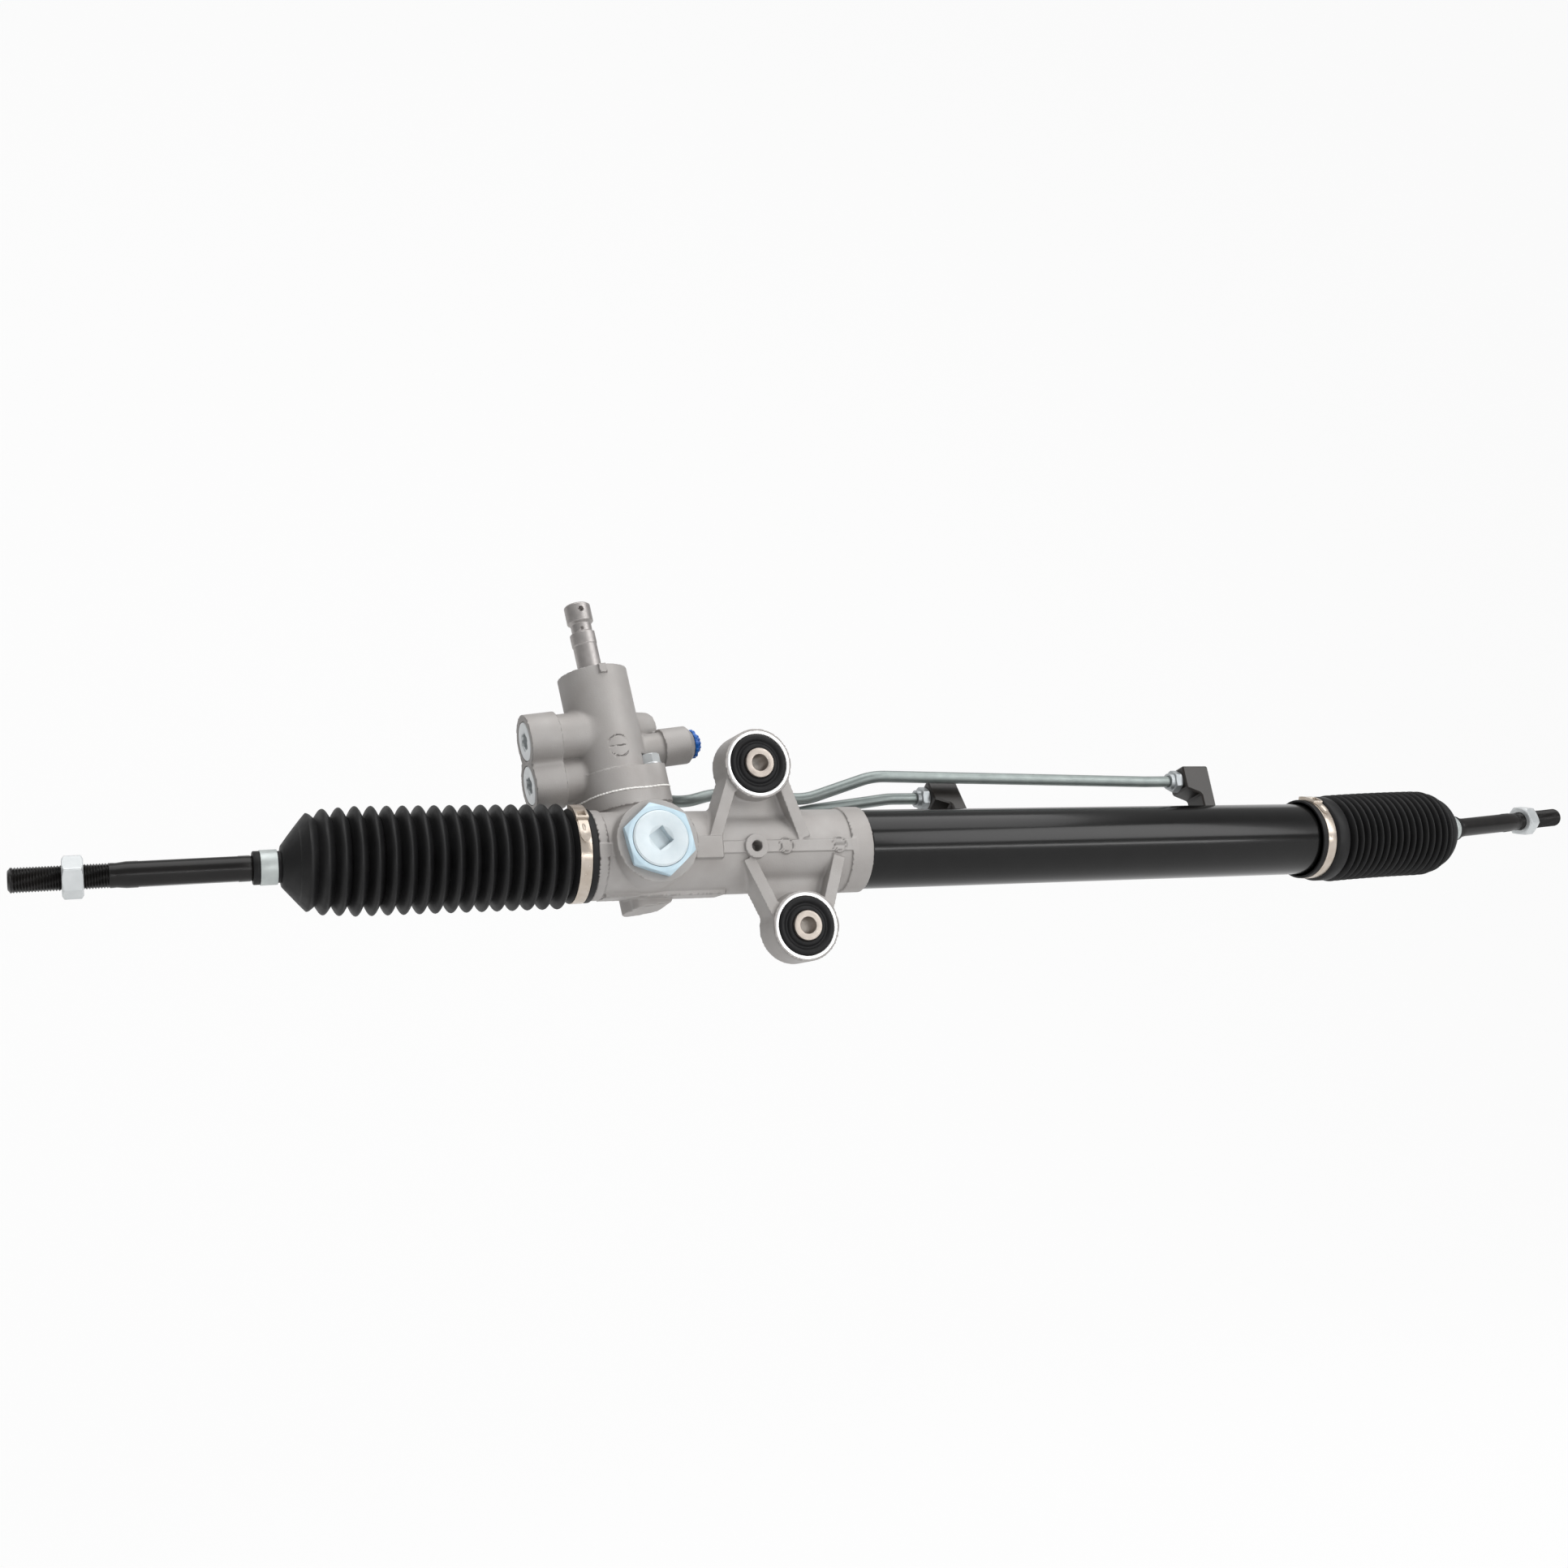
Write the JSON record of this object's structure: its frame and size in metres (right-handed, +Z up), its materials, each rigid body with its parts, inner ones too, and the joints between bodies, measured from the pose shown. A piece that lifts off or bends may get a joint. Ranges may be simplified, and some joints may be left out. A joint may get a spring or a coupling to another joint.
{
  "type": "steering rack",
  "caption": "Hydraulic rack and pinion steering gear: cast housing, rotary valve, power cylinder, bellows boots and tie rods on inner ball joints.",
  "frame": {"origin": "middle of the bolt bore in the upper mounting bush", "axes": "+X along the rack towards the cylinder end, +Y along the mounting bolts to the rear, +Z up towards the input shaft"},
  "size_m": [1.1476, 0.1285, 0.2411],
  "materials": {
    "cast_aluminium": "as cast",
    "black_painted_steel": "gloss black",
    "black_forged_steel": "black, oiled",
    "zinc_plated_steel": "zinc plated",
    "plain_steel": "ground and raw",
    "coated_line": "coated steel",
    "rubber": "matt, moulded",
    "seal_rubber": "moulded",
    "blue_cap": "moulded",
    "white_plastic": "moulded",
    "bronze": "sintered"
  },
  "bodies": {
    "housing": {"rack_housing": "cast_aluminium", "valve_housing": "cast_aluminium", "flange_bolts": "zinc_plated_steel", "upper_bushing_rubber": "rubber", "upper_bushing_sleeve": "zinc_plated_steel", "lower_bushing_rubber": "rubber", "lower_bushing_sleeve": "zinc_plated_steel", "rack_guide": "cast_aluminium", "guide_spring": "plain_steel", "adjuster_plug": "zinc_plated_steel", "adjuster_locknut": "zinc_plated_steel", "pinion_lower_bearing": "plain_steel", "pinion_upper_bearing": "plain_steel", "input_bearing": "plain_steel", "input_seal": "seal_rubber", "port_plugs": "zinc_plated_steel", "pressure_port_cap": "blue_cap", "return_port_cap": "blue_cap", "cylinder_tube": "black_painted_steel", "short_line_block": "black_painted_steel", "long_line_block": "black_painted_steel", "short_pressure_line": "coated_line", "long_pressure_line": "coated_line", "flare_nuts": "zinc_plated_steel", "rack_bushing": "bronze", "inner_rack_seal": "seal_rubber", "cylinder_bulkhead": "cast_aluminium", "bulkhead_o_ring": "seal_rubber", "bulkhead_seal": "seal_rubber", "retaining_ring": "plain_steel", "left_boot": "rubber", "right_boot": "rubber", "left_boot_clamp": "zinc_plated_steel", "right_boot_clamp": "zinc_plated_steel"},
    "rack": {"rack_bar": "plain_steel", "piston": "plain_steel", "piston_ring": "white_plastic", "left_ball_socket": "plain_steel", "right_ball_socket": "plain_steel", "left_lock_washer": "plain_steel", "right_lock_washer": "plain_steel"},
    "pinion": {"pinion_shaft": "plain_steel", "valve_sleeve": "plain_steel", "valve_sleeve_rings": "white_plastic", "torsion_bar": "plain_steel"},
    "input": {"input_shaft": "plain_steel"},
    "left_seat": {"left_ball_seat": "white_plastic"},
    "right_seat": {"right_ball_seat": "white_plastic"},
    "left_rod": {"left_tie_rod": "black_forged_steel", "left_jam_nut": "zinc_plated_steel", "left_neck_clip": "zinc_plated_steel"},
    "right_rod": {"right_tie_rod": "black_forged_steel", "right_jam_nut": "zinc_plated_steel", "right_neck_clip": "zinc_plated_steel"}
  },
  "joints": [
    {"name": "rack_slide", "type": "slide", "parent": "housing", "child": "rack", "axis": [1, 0, 0], "range_m": [-0.051, 0.081], "deforming": ["left_boot", "right_boot"]},
    {"name": "pinion_turn", "type": "hinge", "parent": "housing", "child": "pinion", "pos_m": [-0.0705, 0.03491, -0.05338], "axis": [-0.1288, 0.1037, 0.9862], "range_deg": [-383, 607]},
    {"name": "valve_twist", "type": "hinge", "parent": "pinion", "child": "input", "pos_m": [-0.08338, 0.04527, 0.04525], "axis": [-0.1288, 0.1037, 0.9862], "range_deg": [-5, 5], "stiffness_Nm_per_rad": 100},
    {"name": "left_ball_swing", "type": "hinge", "parent": "rack", "child": "left_seat", "pos_m": [-0.2075, 0.018, -0.0516], "axis": [0, 0, 1], "range_deg": [-20, 20], "deforming": ["left_boot"]},
    {"name": "left_ball_lift", "type": "hinge", "parent": "left_seat", "child": "left_rod", "pos_m": [-0.2075, 0.018, -0.0516], "axis": [0, 1, 0], "range_deg": [-18.4, 21.6], "deforming": ["left_boot"]},
    {"name": "right_ball_swing", "type": "hinge", "parent": "rack", "child": "right_seat", "pos_m": [0.5075, 0.018, -0.0516], "axis": [0, 0, 1], "range_deg": [-27, 13], "deforming": ["right_boot"]},
    {"name": "right_ball_lift", "type": "hinge", "parent": "right_seat", "child": "right_rod", "pos_m": [0.5075, 0.018, -0.0516], "axis": [0.1219, -0.9925, 0], "range_deg": [-24.3, 15.7], "deforming": ["right_boot"]}
  ],
  "couplings": [
    {"joint": "pinion_turn", "follows": "rack_slide", "rad_per_m": 130.48}
  ]
}
